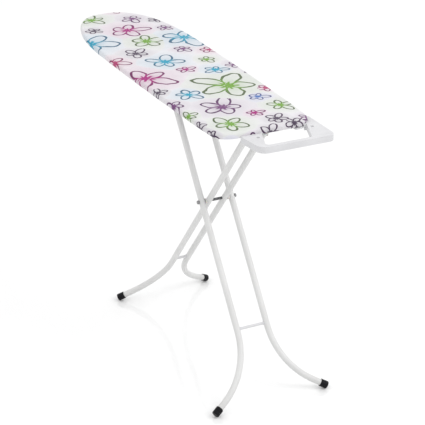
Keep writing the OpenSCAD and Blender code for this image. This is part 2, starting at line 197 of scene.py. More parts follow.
class StageSettings(bpy.types.PropertyGroup):
    """Camera, floor and light."""

    lens: FloatProperty(
        name="Lens", description="Focal length on a 36 mm sensor, in millimetres",
        default=122.3, min=20.0, max=300.0,
    )
    camera: FloatVectorProperty(
        name="Camera", description="Place of the camera", size=3,
        default=(3.590, -1.639, 2.168), subtype="XYZ", unit="LENGTH",
    )
    heading: turn_angle("Heading", "Turn of the view about the vertical, from +Y", 64.26)
    dip: turn_angle("Dip", "How far the view looks down", 24.77)
    roll: turn_angle("Roll", "Turn of the camera about its view line", -0.19)
    floor: colour("Floor", "Plain pale floor", (0.925, 0.925, 0.925))
    sky: FloatProperty(
        name="Sky", description="Strength of the even light from all round",
        default=1.04, min=0.0, max=4.0,
    )


class IroningBoardSettings(bpy.types.PropertyGroup):
    """All the settings of the ironing board."""

    cover: PointerProperty(type=CoverSettings)
    print: PointerProperty(type=PrintSettings)
    pad: PointerProperty(type=PadSettings)
    steel: PointerProperty(type=SteelSettings)
    foot: PointerProperty(type=FootSettings)
    stage: PointerProperty(type=StageSettings)


# ---- shapes as arrays ------------


def smoothstep(t):
    """0 below 0, 1 above 1, and 3t^2 - 2t^3 between them."""
    t = np.clip(t, 0.0, 1.0)
    return t * t * (3.0 - 2.0 * t)


def full_turn(steps):
    """Evenly spaced angles all the way round, the last one left out."""
    return np.linspace(0.0, FULL_TURN, steps, endpoint=False)


def lengths(vectors):
    """The length of each row of vectors, as a column."""
    return np.linalg.norm(vectors, axis=1)[:, None]


def grid_quads(rows, columns, wrap):
    """Vertex numbers of the quads of a grid, joined end to end where wrap says so."""
    r = np.arange(rows if wrap[0] else rows - 1)[:, None]
    c = np.arange(columns if wrap[1] else columns - 1)[None, :]
    r2, c2 = (r + 1) % rows, (c + 1) % columns
    corners = (r * columns + c, r * columns + c2, r2 * columns + c2, r2 * columns + c)
    return np.stack(np.broadcast_arrays(*corners), -1).reshape(-1, 4)


def surface(name, grid, wrap=(False, False), uv=None):
    """A merged, outward-facing quad mesh over grid, (rows, columns, 3).

    uv gives each grid point its place on the flat cloth.
    """
    return mesh_object(name, grid.reshape(-1, 3), grid_quads(*grid.shape[:2], wrap), uv)


def linked(name, data):
    """A new object that holds data, linked to the scene."""
    obj = bpy.data.objects.new(name, data)
    bpy.context.scene.collection.objects.link(obj)
    return obj


def finished(obj, material):
    """The object, given its material."""
    obj.data.materials.append(material)
    return obj


@contextmanager
def opened(mesh):
    """Opens a mesh for editing and writes it back at the end."""
    work = bmesh.new()
    work.from_mesh(mesh)
    yield work
    work.to_mesh(mesh)
    work.free()


def mesh_object(name, points, quads, uv=None):
    """A linked object from arrays of points and quads.

    Its doubles are merged, its collapsed faces dropped and its faces turned outwards.
    """
    mesh = bpy.data.meshes.new(name)
    mesh.vertices.add(len(points))
    mesh.vertices.foreach_set("co", np.ascontiguousarray(points, np.float32).ravel())
    mesh.loops.add(quads.size)
    mesh.loops.foreach_set("vertex_index", quads.ravel().astype(np.int32))
    mesh.polygons.add(len(quads))
    mesh.polygons.foreach_set("loop_start", np.arange(0, quads.size, 4, dtype=np.int32))
    if uv is not None:
        layer = mesh.uv_layers.new(name="cloth")
        layer.data.foreach_set("uv", uv.reshape(-1, 2)[quads.ravel()].astype(np.float32).ravel())
    mesh.update(calc_edges=True)
    mesh.validate()
    with opened(mesh) as work:
        bmesh.ops.remove_doubles(work, verts=work.verts, dist=MERGE_REACH)
        bmesh.ops.dissolve_degenerate(work, edges=work.edges, dist=MERGE_REACH)
        bmesh.ops.recalc_face_normals(work, faces=work.faces)
    mesh.shade_smooth()
    return linked(name, mesh)


def across(axis):
    """Two unit vectors square to axis and to each other."""
    axis = np.asarray(axis, float) / np.linalg.norm(axis)
    first = np.cross(axis, UP if abs(axis[2]) < 0.9 else np.array([1.0, 0.0, 0.0]))
    first /= np.linalg.norm(first)
    return axis, first, np.cross(axis, first)


def rings(path, normal, binormal, radius, sides):
    """A ring of radius round each point of path, in the plane of normal and binormal."""
    turn = full_turn(sides)[:, None]
    ring = np.cos(turn) * normal[..., None, :] + np.sin(turn) * binormal[..., None, :]
    return path[..., None, :] + np.asarray(radius)[..., None, None] * ring


def revolved(base, axis, heights, radii):
    """Rings of the given radii at heights along axis from base: a turned shape."""
    axis, e1, e2 = across(axis)
    return rings(base + np.asarray(heights)[:, None] * axis, e1, e2, radii, 48)


def swept(path, normal, binormal, radius, sides):
    """Rings along path, the first and last shrunk to points so that the ends close."""
    tips = np.repeat(path[[0, -1], None], sides, axis=1)
    return np.concatenate([tips[:1], rings(path, normal, binormal, radius, sides), tips[1:]])


# ---- the board's outline ------------


class Outline:
    """The cover's outline as evenly spaced points, read from the frame's cover.

    place holds the points, anticlockwise from the nose, and out the unit normals
    that point away from the board.
    """

    SMOOTHING = 6
    NOSE_END = 0.15
    HEEL_END = 0.10

    def __init__(self, count):
        points = node_points("cover")
        on_top = points[:, 2] > COVER_HIGH[2] - FLAT_REACH
        top = np.unique(np.round(points[on_top, :2], 6), axis=0)
        around = np.arctan2(top[:, 1], top[:, 0])
        ring = top[np.argsort(around)]
        ring = np.roll(ring, -int(np.argmin(ring[:, 0])), axis=0)
        closed = np.vstack([ring, ring[:1]])
        run = np.concatenate([[0.0], np.cumsum(lengths(np.diff(closed, axis=0)))])
        self.girth = run[-1]
        at = np.linspace(0.0, self.girth, count, endpoint=False)
        place = np.stack([np.interp(at, run, closed[:, k]) for k in (0, 1)], -1)
        for _ in range(self.SMOOTHING):
            place = 0.5 * place + 0.25 * (np.roll(place, 1, 0) + np.roll(place, -1, 0))
        mirrored = np.roll(place[::-1], 1, axis=0) * (1.0, -1.0)
        self.place = 0.5 * (place + mirrored)
        along = np.roll(self.place, -1, 0) - np.roll(self.place, 1, 0)
        along /= lengths(along)
        self.out = np.stack([along[:, 1], -along[:, 0]], -1)
        self.run = at
        middle = np.clip(
            self.place[:, 0], COVER_LOW[0] + self.NOSE_END, COVER_HIGH[0] - self.HEEL_END
        )
        self.middle = np.stack([middle, np.zeros(count)], -1)

    def inset(self, depth):
        """The outline drawn in by depth, one row for each depth: (rows, points, 2)."""
        depth = np.asarray(depth, float)
        if depth.ndim == 1:
            depth = depth[:, None]
        return self.place[None] - depth[..., None] * self.out[None]

    def inwards(self, ring, rows):
        """Rows of points from the middle line out to ring, the ring itself left out."""
        share = np.linspace(0.0, 1.0, rows, endpoint=False)[:, None, None]
        return self.middle[None] + share * (ring - self.middle)[None]


def arc(radius, start, end, steps):
    """Sideways and upward offsets of an arc from angle start to end, in degrees."""
    t = np.radians(np.linspace(start, end, steps))
    return radius * np.cos(t), radius * np.sin(t)


def wave(at, period, seed):
    """A smooth wandering wave in -1 to 1: three sines of nearly that period."""
    phase = np.array([0.3, 1.7, 4.1]) * (seed + 1.0)
    rate = FULL_TURN / (period * np.array([1.0, 1.37, 0.71]))
    return sum(np.sin(at * r + p) for r, p in zip(rate, phase)) / 3.0


# ---- shader building ------------


class Finish:
    """A material under construction: one Principled shader and its node tree."""

    def __init__(self, name, roughness=0.5, metallic=0.0, **sockets):
        self.material = bpy.data.materials.new(name)
        self.material.use_nodes = True
        self.nodes = self.material.node_tree.nodes
        self.links = self.material.node_tree.links
        self.shader = self.nodes["Principled BSDF"]
        self.set("Roughness", roughness)
        self.set("Metallic", metallic)
        for label, value in sockets.items():
            self.set(label.replace("_", " "), value)

    def set(self, label, value):
        """Sets or links one of the shader's sockets."""
        self.plug(self.shader.inputs[label], value)

    def plug(self, socket, value):
        """Links a socket to another one, or gives it a constant."""
        if isinstance(value, bpy.types.NodeSocket):
            self.links.new(value, socket)
        elif socket.type == "RGBA" and len(value) == 3:
            socket.default_value = (*value, 1.0)
        else:
            socket.default_value = value

    def add(self, kind, inputs=(), **settings):
        """A node of that kind, its inputs given by name or number."""
        node = self.nodes.new("ShaderNode" + kind)
        for key, value in settings.items():
            setattr(node, key, value)
        for key, value in dict(inputs).items():
            self.plug(node.inputs[key], value)
        return node

    def math(self, operation, *values):
        return self.add("Math", enumerate(values), operation=operation).outputs[0]

    def times(self, a, b, *extra):
        """a b, or a b + extra where extra is given."""
        return self.math("MULTIPLY_ADD" if extra else "MULTIPLY", a, b, *extra)

    def less(self, a, b):
        return self.math("SUBTRACT", a, b)

    def over(self, a, b):
        return self.math("DIVIDE", a, b)

    def hypotenuse(self, a, b):
        """The square root of a a + b b."""
        return self.math("SQRT", self.times(a, a, self.times(b, b)))

    def ramp(self, value, low, high, to_low=0.0, to_high=1.0):
        """Value from low to high carried smoothly to to_low to to_high."""
        node = self.add(
            "MapRange", {0: value, 1: low, 2: high, 3: to_low, 4: to_high},
            interpolation_type="SMOOTHSTEP",
        )
        return node.outputs[0]

    def mix(self, share, a, b):
        """Colour a carried to colour b by share."""
        return self.add("Mix", {0: share, 6: a, 7: b}, data_type="RGBA").outputs[2]

    def place(self):
        """The piece's own coordinates, in metres."""
        return self.add("TexCoord").outputs["Object"]

    def map_of(self, name):
        return self.add("UVMap", uv_map=name).outputs[0]

    def attribute(self, name, output="Fac"):
        return self.add("Attribute", attribute_name=name).outputs[output]

    def noise(self, scale, vector, detail=2.0, output=0):
        inputs = {"Scale": scale, "Detail": detail, "Vector": vector}
        return self.add("TexNoise", inputs).outputs[output]

    def mottle(self, low, high, scale, vector, detail=4.0):
        """Roughness that wanders from low to high."""
        cloud = self.noise(scale, vector, detail)
        self.set("Roughness", self.ramp(cloud, 0.2, 0.8, low, high))

    def pebble(self, depth, strength, scale, vector, detail=2.0):
        """Fine relief of the given depth in metres."""
        self.set("Normal", self.bump(self.noise(scale, vector, detail), depth, strength))

    def bump(self, height, depth, strength, under=None):
        """Bump of the given depth in metres, laid over another where under is given."""
        inputs = {"Height": height, "Distance": depth, "Strength": strength}
        if under is not None:
            inputs["Normal"] = under
        return self.add("Bump", inputs).outputs[0]


def scaled(base, share):
    """Colour base with each channel multiplied by share."""
    return tuple(share * c for c in base)


def wear(make, base, strength, scale=14.0):
    """Base colour with slow cloudy variation, as handled paint has."""
    cloud = make.noise(scale, make.place(), detail=5.0)
    return make.mix(make.ramp(cloud, 0.35, 0.7), base, scaled(base, 1.0 - strength))


def stove_enamel(name, base):
    """Pale stove enamel: soft gloss, faint orange peel, dulled near the feet."""
    make = Finish(name, Specular_IOR_Level=0.45)
    spot = make.place()
    grime = make.ramp(make.add("SeparateXYZ", {0: spot}).outputs[2], 0.0, 0.09, 0.35, 0.0)
    speck = make.times(grime, make.noise(160.0, spot, detail=6.0))
    make.set("Base Color", make.mix(speck, wear(make, base, 0.06), (0.30, 0.29, 0.27)))
    make.mottle(0.30, 0.42, 60.0, spot)
    make.pebble(0.00012, 0.35, 900.0, spot, detail=1.0)
    return make.material


def powder_coat(name, base):
    """Fine pebbled powder coat."""
    make = Finish(name, Specular_IOR_Level=0.4)
    spot = make.place()
    make.set("Base Color", wear(make, base, 0.05))
    make.mottle(0.42, 0.55, 45.0, spot)
    make.pebble(0.00015, 0.45, 1400.0, spot)
    return make.material


def zinc_plate(name, base):
    """Zinc plating: bright metal drawn along its length, slightly mottled."""
    make = Finish(name, metallic=1.0)
    drawn = make.add("Mapping", {0: make.place(), 3: (900.0, 60.0, 900.0)}).outputs[0]
    make.set("Base Color", wear(make, base, 0.18, 90.0))
    make.mottle(0.26, 0.44, 1.0, drawn, detail=3.0)
    make.pebble(0.00006, 0.4, 1.0, drawn)
    return make.material


def blackened_steel(name, base):
    """Blackened steel of the pivot axle, worn brighter in streaks."""
    make = Finish(name, metallic=1.0)
    spot = make.place()
    rub = make.ramp(make.noise(140.0, spot, detail=5.0), 0.5, 0.75)
    make.set("Base Color", make.mix(rub, base, scaled(base, 2.6)))
    make.set("Roughness", make.ramp(rub, 0.0, 1.0, 0.46, 0.30))
    make.pebble(0.00008, 0.4, 500.0, spot, detail=3.0)
    return make.material


def moulded(name, base, rough, gloss):
    """Moulded plastic: fine spark-eroded grain and rubbed, slightly glossier highs."""
    make = Finish(name, Specular_IOR_Level=gloss)
    spot = make.place()
    make.set("Base Color", wear(make, base, 0.25, 60.0))
    make.mottle(rough, rough + 0.14, 80.0, spot)
    make.pebble(0.0001, 0.5, 2200.0, spot)
    return make.material


def natural_nylon(name, base):
    """Natural nylon: milky, with light carried a little way in."""
    make = Finish(name, Subsurface_Weight=0.25, Subsurface_Scale=0.002)
    spot = make.place()
    make.set("Base Color", wear(make, base, 0.08, 90.0))
    make.mottle(0.36, 0.5, 120.0, spot, detail=2.0)
    make.pebble(0.00006, 0.3, 700.0, spot)
    return make.material


# How each material slot is finished: the material's name, its builder, the setting
# that colours it, and a moulded plastic's roughness and gloss.
SLOT_FINISHES = {
    "deck_paint": ("deck_coat", powder_coat, "deck"),
    "leg_paint": ("leg_enamel", stove_enamel, "legs"),
    "rest_paint": ("rest_coat", powder_coat, "rest"),
    "bar_paint": ("rest_coat", powder_coat, "rest"),
    "black_plastic": ("black_plastic", moulded, "black", 0.34, 0.16),
    "grey_plastic": ("grey_plastic", moulded, "grey", 0.46, 0.4),
    "white_nylon": ("nylon", natural_nylon, "nylon"),
    "zinc_steel": ("zinc_plate", zinc_plate, "zinc"),
    "dark_steel": ("dark_steel", blackened_steel, "axle"),
}


BUILT = {}


def slot_finish(slot, steel):
    """The material of a slot, built the first time it is asked for."""
    name, build, key, *more = SLOT_FINISHES[slot]
    if name not in BUILT:
        BUILT[name] = build(name, getattr(steel, key), *more)
    return BUILT[name]


def felt(base):
    """Needled felt: flecked fibres over a cloudy ground, with a soft sheen."""
    make = Finish("felt", roughness=0.95, Sheen_Weight=0.35, Sheen_Roughness=0.6)
    spot = make.place()
    stretch = make.add("Mapping", {0: spot, 3: (1.0, 2.6, 2.0)}).outputs[0]
    fibre = make.noise(900.0, stretch, detail=5.0)
    fleck = make.ramp(make.noise(330.0, stretch, detail=3.0), 0.62, 0.72)
    ground = make.mix(make.ramp(fibre, 0.3, 0.7), base, scaled(base, 0.72))
    make.set("Base Color", make.mix(fleck, ground, (0.20, 0.21, 0.26)))
    rough = make.bump(make.noise(120.0, spot, detail=4.0), 0.0006, 0.5)
    make.set("Normal", make.bump(fibre, 0.0005, 0.8, rough))
    return make.material


def thread_cotton():
    """White twisted sewing thread."""
    make = Finish("thread_cotton", roughness=0.8, Sheen_Weight=0.3)
    twist = make.noise(2500.0, make.place())
    make.set("Base Color", make.mix(twist, (0.74, 0.73, 0.75), (0.55, 0.54, 0.56)))
    make.set("Normal", make.bump(twist, 0.00015, 0.6))
    return make.material


# ---- the flower print ------------

# The print as laid out on the flat cloth: along, across and radius in
# millimetres, number of petals, direction of the longest petal in degrees, and ink.
FLOWERS = (
    (-555, -65, 60, 5, 20, "lime"), (-445, -100, 34, 5, 40, "ink"),
    (-510, 55, 46, 5, 0, "plum"), (-470, 120, 32, 5, 70, "ink"),
    (-405, -5, 80, 5, 78, "magenta"), (-380, 110, 34, 5, 30, "plum"),
    (-335, -155, 96, 5, 58, "cyan"), (-280, 5, 70, 5, 92, "lime"),
    (-265, 125, 98, 5, 10, "cyan"), (-185, -70, 50, 5, 128, "ink"),
    (-165, 75, 36, 5, 20, "plum"), (-140, -160, 56, 5, 50, "rose"),
    (-125, 140, 36, 5, 100, "rose"), (-75, -25, 70, 5, 150, "cyan"),
    (-45, 95, 34, 5, 15, "lime"), (10, 3, 34, 5, 100, "magenta"),
    (30, 150, 36, 5, 48, "plum"), (32, -130, 100, 5, 44, "magenta"),
    (48, 78, 44, 5, 75, "cyan"), (100, 165, 26, 4, 20, "ink"),
    (150, -145, 34, 5, 170, "ink"), (184, 52, 116, 5, 216, "lime"),
    (203, -78, 50, 5, 31, "cyan"), (245, 138, 34, 5, 60, "rose"),
    (262, -150, 44, 5, 200, "plum"), (302, 84, 38, 5, 75, "blue"),
    (332, -37, 76, 5, 148, "plum"), (346, -148, 34, 5, 100, "lime"),
    (383, 110, 50, 5, 22, "lime"), (409, 20, 34, 5, 100, "magenta"),
    (415, -158, 32, 5, 60, "ink"), (454, -74, 62, 5, 200, "lime"),
    (470, 52, 38, 5, 140, "ink"), (482, -155, 36, 5, 20, "ink"),
    (495, 132, 30, 5, 0, "plum"), (512, 85, 34, 5, 60, "ink"),
    (532, 10, 40, 5, 150, "ink"), (548, -45, 34, 5, 100, "plum"),
    (550, -110, 34, 5, 44, "blue"), (184, 200, 36, 5, 9, "magenta"),
    (-20, -215, 40, 5, 31, "lime"), (355, 190, 34, 5, 3, "cyan"),
    (-630, 30, 44, 5, 15, "rose"), (-20, 190, 32, 5, 40, "lime"),
)


# How a flower is drawn, as shares of its radius: the furthest the hand strays, the
# least reach of a petal and what chance adds, the longest petal's reach, where a petal
# has its middle, half its length, and half its width with what chance adds.
HAND_SHAKE = 0.26
REACH, REACH_SPREAD, FIRST_REACH = 0.60, 0.26, 0.98
PETAL_MIDDLE, PETAL_HALF_LENGTH = 0.56, 0.43
PETAL_HALF_WIDTH, PLUMP_SPREAD = 0.09, 0.06
INK_BORDER = 0.0004
WEAVE_PITCH = 0.00075


def bloom_coordinates(mesh, inks):
    """Gives each face its nearest flower's own coordinates, size, ink and petals.

    Nearest is by distance as a share of the flower's radius, and a flower's
    coordinates run to 1 at the tip of its longest petal, which lies along +X.
    """
    cloth = read(mesh.uv_layers["cloth"].data, "uv", 2)
    starts = read(mesh.polygons, "loop_start", 1, np.int32)[:, 0]
    totals = np.diff(np.append(starts, len(cloth)))
    centre = np.add.reduceat(cloth, starts, axis=0) / totals[:, None]
    spots = np.array([f[:5] for f in FLOWERS]) * (0.001, 0.001, 0.001, 1.0, 1.0)
    away = np.linalg.norm(centre[:, None] - spots[None, :, :2], axis=2) / spots[None, :, 2]
    owner = away.argmin(axis=1)
    loop_owner = np.repeat(owner, totals)
    turn = np.radians(spots[loop_owner, 4])
    local = (cloth - spots[loop_owner, :2]) / spots[loop_owner, 2:3]
    bloom = np.stack([
        np.cos(turn) * local[:, 0] + np.sin(turn) * local[:, 1],
        np.cos(turn) * local[:, 1] - np.sin(turn) * local[:, 0],
    ], -1)
    layer = mesh.uv_layers.new(name="bloom")
    layer.data.foreach_set("uv", bloom.astype(np.float32).ravel())
    ink = np.array([(*inks[f[5]], 1.0) for f in FLOWERS], np.float32)
    mesh.attributes.new("ink", "FLOAT_COLOR", "FACE").data.foreach_set("color", ink[owner].ravel())
    for name, values in (("petals", spots[owner, 3]), ("size", spots[owner, 2]),
                         ("seed", owner * 7.31)):
        mesh.attributes.new(name, "FLOAT", "FACE").data.foreach_set(
            "value", values.astype(np.float32))


def petal_masks(make, pen):
    """Masks of the drawn line, the petals' insides, and the distance from the centre.

    A petal is an ellipse along its own spoke, from near the centre to its reach.
    Its line lies where the ellipse's equation f is near 1, and the distance from the
    line is (f - 1) f / |gradient|, so the pen keeps one width in metres. Spokes and a
    small disc draw the flower's heart.
    """
    cloth = make.map_of("cloth")
    shake = make.add("VectorMath", {0: make.noise(17.0, cloth, 1.0, 1), 1: (0.5, 0.5, 0.5)},
                     operation="SUBTRACT").outputs[0]
    spot = make.add("VectorMath", {0: shake, 1: (HAND_SHAKE, HAND_SHAKE, 0.0),
                                   2: make.map_of("bloom")},
                    operation="MULTIPLY_ADD").outputs[0]
    flat = make.add("SeparateXYZ", {0: spot}).outputs
    radius = make.hypotenuse(flat[0], flat[1])
    petals, size, seed = (make.attribute(name) for name in ("petals", "size", "seed"))

    wedge = make.over(FULL_TURN, petals)
    spoke = make.over(make.math("ARCTAN2", flat[1], flat[0]), wedge)
    number = make.math("ROUND", spoke)
    lean = make.times(make.less(spoke, number), wedge)
    along = make.times(radius, make.math("COSINE", lean))
    aside = make.times(radius, make.math("SINE", lean))

    turn_number = make.math("MODULO", make.math("ADD", number, petals), petals)
    chance = make.add("TexWhiteNoise", {"W": make.math("ADD", turn_number, seed)},
                      noise_dimensions="1D").outputs[0]
    plump = make.math("FRACT", make.times(chance, 7.3))
    first = make.math("COMPARE", turn_number, 0.0, 0.25)
    reach = make.math("MAXIMUM", make.times(chance, REACH_SPREAD, REACH),
                      make.times(first, FIRST_REACH))
    half_long = make.times(reach, PETAL_HALF_LENGTH)
    half_wide = make.times(plump, PLUMP_SPREAD, make.times(reach, 0.12, PETAL_HALF_WIDTH))

    x = make.over(make.less(along, make.times(reach, PETAL_MIDDLE)), half_long)
    y = make.over(aside, half_wide)
    ellipse = make.hypotenuse(x, y)
    slope = make.hypotenuse(make.over(x, half_long), make.over(y, half_wide))
    off = make.times(make.math("ABSOLUTE", make.less(ellipse, 1.0)),
                     make.over(ellipse, make.math("MAXIMUM", slope, 0.2)))
    press = make.times(make.times(make.noise(30.0, cloth), 1.0, 0.50),
                       make.times(make.times(size, 7.0, 0.45), pen))

    def drawn(off_line):
        """A mask of what lies nearer to a line than zero, with a soft border."""
        return make.ramp(off_line, -INK_BORDER, INK_BORDER, 1.0, 0.0)

    outline = drawn(make.less(make.times(off, size), press))
    off_spoke = make.times(make.math("ABSOLUTE", aside), size)
    stalk = make.times(drawn(make.less(off_spoke, make.times(press, 0.9))),
                       make.ramp(radius, 0.22, 0.32, 1.0, 0.0))
    heart = make.ramp(make.times(radius, size), make.times(press, 2.0),
                      make.times(press, 2.8), 1.0, 0.0)
    line = make.math("MAXIMUM", make.math("MAXIMUM", outline, stalk), heart)
    return line, make.ramp(ellipse, 0.96, 1.02, 1.0, 0.0), radius


def printed_cotton(colours):
    """Plain-woven cotton with flowers drawn in ink and faintly washed with its tint."""
    make = Finish("printed_cotton", roughness=0.86, Sheen_Weight=0.12, Sheen_Roughness=0.5,
                  Specular_IOR_Level=0.25)
    line, inside, radius = petal_masks(make, colours.pen)
    ink = make.attribute("ink", "Color")
    cloth = make.map_of("cloth")
    slub = make.ramp(make.noise(26.0, cloth, detail=6.0), 0.3, 0.75)
    ground = make.mix(slub, colours.cloth, scaled(colours.cloth, 0.95))
    tinted = make.mix(make.ramp(radius, 0.5, 1.6, 0.20, 0.05), ground, ink)
    wash = make.times(inside, make.ramp(radius, 0.15, 0.60, 0.20, 0.0))
    washed = make.mix(wash, tinted, ink)
    deep = make.mix(make.ramp(radius, 0.15, 0.65, 0.0, 0.68), ink, (0.045, 0.012, 0.055))
    faded = make.times(line, make.ramp(make.noise(210.0, cloth), 0.15, 0.55, 0.86, 0.99))
    make.set("Base Color", make.mix(faded, washed, deep))
    flat = make.add("SeparateXYZ", {0: cloth}).outputs
    warp, weft = (make.math("SINE", make.times(flat[k], FULL_TURN / WEAVE_PITCH)) for k in (0, 1))
    soft = make.bump(make.noise(38.0, cloth, detail=3.0), 0.0012, 0.25)
    make.set("Normal", make.bump(make.times(warp, weft), 0.00012, 0.35, soft))
    return make.material


# ---- the soft pieces ------------


# Lengths in metres: how wide the top's sunken border and its level border are, how far
# its middle wanders, the slack on the side, and the gap between pad and cover.
SINK_WIDTH = 0.045
LEVEL_WIDTH = 0.03
BREATH = 0.00025
SLACK, SLACK_WIDTH, SLACK_PERIOD = 0.0005, 0.012, 0.11
PAD_GAP = 0.0006
STITCH_SIDES = 6  # flats round one stitch


def cover_rows(outline, cover):
    """The cover's surface below its flat top, as (inset, height, cloth) rows.

    Going outwards and down: a quarter turn over the pad's edge, the side, a
    quarter turn under the rim, the gathered hem, and the casing rolled round the
    elastic. cloth is the distance along the cloth from the flat top's border.
    """
    top, low = COVER_HIGH[2] - cover.sink, COVER_LOW[2]
    edge_in, edge_up = arc(cover.edge, 90, 0, 8)
    side = np.linspace(0.0, 1.0, 6)[1:-1]
    turn_in, turn_up = arc(cover.under, 0, -90, 6)
    hem = np.linspace(0.0, 1.0, 7)[1:-1]
    casing_in, casing_up = arc(cover.casing, -90, 190, 12)
    hem_run = cover.hem - cover.under
    inset = np.concatenate([
        cover.edge - edge_in, side * 0.0, cover.under - turn_in,
        cover.under + hem * hem_run, cover.hem + casing_in,
    ])
    drop = top - cover.edge - low - cover.under
    height = np.concatenate([
        top - cover.edge + edge_up, low + cover.under + drop * (1.0 - side),
        low + cover.under + turn_up, low + hem * 0.0, low + cover.casing + casing_up,
    ])
    run = np.concatenate([[0.0], np.cumsum(np.hypot(np.diff(inset), np.diff(height)))])
    at = outline.run[None]
    gather = smoothstep((run[:, None] - run[-1] + cover.hem + cover.casing * 4) / cover.hem)
    shift = gather * cover.pucker * wave(at, cover.pucker_pitch, 1)
    lift = gather * cover.pucker * 0.5 * (1.0 + wave(at, cover.pucker_pitch, 2))
    slack = SLACK * np.exp(-(((run - cover.edge * 2.6) / SLACK_WIDTH) ** 2))[:, None]
    bulge = slack * (wave(at, SLACK_PERIOD, 3) - 0.4)
    return inset[:, None] + shift + bulge, height[:, None] + lift, run


def flat_top(outline, ring, height, sink, rows):
    """Points of a flat top from the middle line out to ring.

    It sinks near its border, by sink (1 - smoothstep(distance / width)), and its
    middle wanders by a product of two slow sines.
    """
    flat = outline.inwards(ring, rows)
    room = np.linalg.norm(flat - ring[None], axis=2)
    fall = sink * (1.0 - smoothstep(room / SINK_WIDTH))
    breathe = BREATH * np.sin(flat[..., 0] * 31.0) * np.sin(flat[..., 1] * 47.0 + 1.0)
    return np.dstack([flat, height - fall + breathe * smoothstep(room / LEVEL_WIDTH)])


def build_cover(cover, colours):
    """The printed cover: a flat top carried over the edge into a gathered hem."""
    outline = Outline(cover.around)
    inset, height, run = cover_rows(outline, cover)
    sides = np.dstack([outline.inset(inset), np.broadcast_to(height, inset.shape)])
    border = sides[0, :, :2]
    top = flat_top(outline, border, COVER_HIGH[2], cover.sink, cover.across)
    edge = outline.inset(np.array([cover.edge]))[0]
    cloth = np.concatenate([top[..., :2], edge[None] + run[:, None, None] * outline.out[None]])
    obj = surface("cotton_cover", np.concatenate([top, sides]), (False, True), cloth)
    inks = {name: tuple(getattr(colours, name))
            for name in ("magenta", "cyan", "lime", "plum", "blue", "rose", "ink")}
    bloom_coordinates(obj.data, inks)
    finished(obj, printed_cotton(colours))
    wall = obj.modifiers.new("cloth", "SOLIDIFY")
    wall.thickness = cover.cloth
    wall.offset = -1.0
    return obj, outline, cloth


def build_stitches(outline, cover, colours):
    """One row of short stitches along the hem, each a spindle lying on the cloth."""
    stitches = int(outline.girth / colours.stitch_pitch)
    at = np.linspace(0.0, outline.girth, stitches, endpoint=False)
    inset, height = cover_rows(outline, cover)[:2]
    depth = inset.mean(1)
    row = np.abs(depth - cover.hem + 2.2 * cover.casing)[:depth.argmax()].argmin()
    track = np.column_stack([outline.place - inset[row][:, None] * outline.out, height[row]])
    wrap = np.append(outline.run, outline.girth)
    lane = [np.interp(at, wrap, np.append(v, v[0])) for v in track.T]
    place = np.stack(lane, -1) - (0.0, 0.0, colours.thread * 0.3)
    step = np.roll(place, -1, 0) - np.roll(place, 1, 0)
    step /= lengths(step)
    aside = np.cross(step, UP)
    share = np.linspace(-1.0, 1.0, 5)
    girth = 0.5 * colours.thread * np.sqrt(np.clip(1.0 - share ** 2, 0.0, 1.0))
    path = place[:, None] + 0.5 * colours.stitch * share[:, None] * step[:, None]
    grid = rings(path, aside[:, None], UP, girth, STITCH_SIDES)
    quads = grid_quads(len(share), STITCH_SIDES, (False, True))
    quads = quads + np.arange(stitches)[:, None, None] * (len(share) * STITCH_SIDES)
    obj = mesh_object("hem_stitches", grid.reshape(-1, 3), quads.reshape(-1, 4))
    return finished(obj, thread_cotton())


def build_pad(pad, cover):
    """The felt pad: a flat slab with softly rounded cut edges, under the cover."""
    outline = Outline(cover.around // 2)
    high, low = PAD_HIGH[2] - PAD_GAP, PAD_LOW[2]
    over_in, over_up = arc(pad.edge, 90, 0, 5)
    under_in, under_up = arc(pad.edge * 0.5, 0, -90, 4)
    inset = pad.margin + np.concatenate([pad.edge - over_in, pad.edge * 0.5 - under_in])
    height = np.concatenate([
        high - cover.sink - pad.edge + over_up, low + pad.edge * 0.5 + under_up,
    ])
    ring = outline.inset(inset)
    sides = np.dstack([ring, np.broadcast_to(height[:, None], ring.shape[:2])])
    rows = cover.across // 2
    top = flat_top(outline, ring[0], high, cover.sink, rows)
    base = outline.inwards(ring[-1], rows)[::-1]
    base = np.dstack([base, np.full(base.shape[:2], low)])
    obj = surface("felt_pad", np.concatenate([top, sides, base]), (False, True))
    return finished(obj, felt(pad.felt))


# ---- the hard pieces ------------


def turned_axis(name):
    """Centre and axis of a turned node.

    The axis is the normal of its largest flat face, and the centre lies midway
    between its sides.
    """
    faces = frame["nodes"][name].data.polygons
    normals, areas = read(faces, "normal", 3), read(faces, "area", 1)[:, 0]
    group = np.unique(np.round(normals, 2) + 0.0, axis=0, return_inverse=True)[1].ravel()
    flat = group == np.bincount(group, areas).argmax()
    axis, e1, e2 = across((normals[flat] * areas[flat, None]).sum(0))
    sides = node_points(name) @ np.stack([e1, e2], 1)
    middle = 0.5 * (sides.min(0) + sides.max(0))
    return middle[0] * e1 + middle[1] * e2, axis


# A foot cap in metres: the round of its tip, the break of its lip, and how deep its
# open end shows. A groove is where the cosine falls below -GROOVE_EDGE.
TIP_ROUND, LIP_BREAK, CAP_DEPTH = 0.003, 0.0004, 0.004
GROOVE_EDGE = 0.55


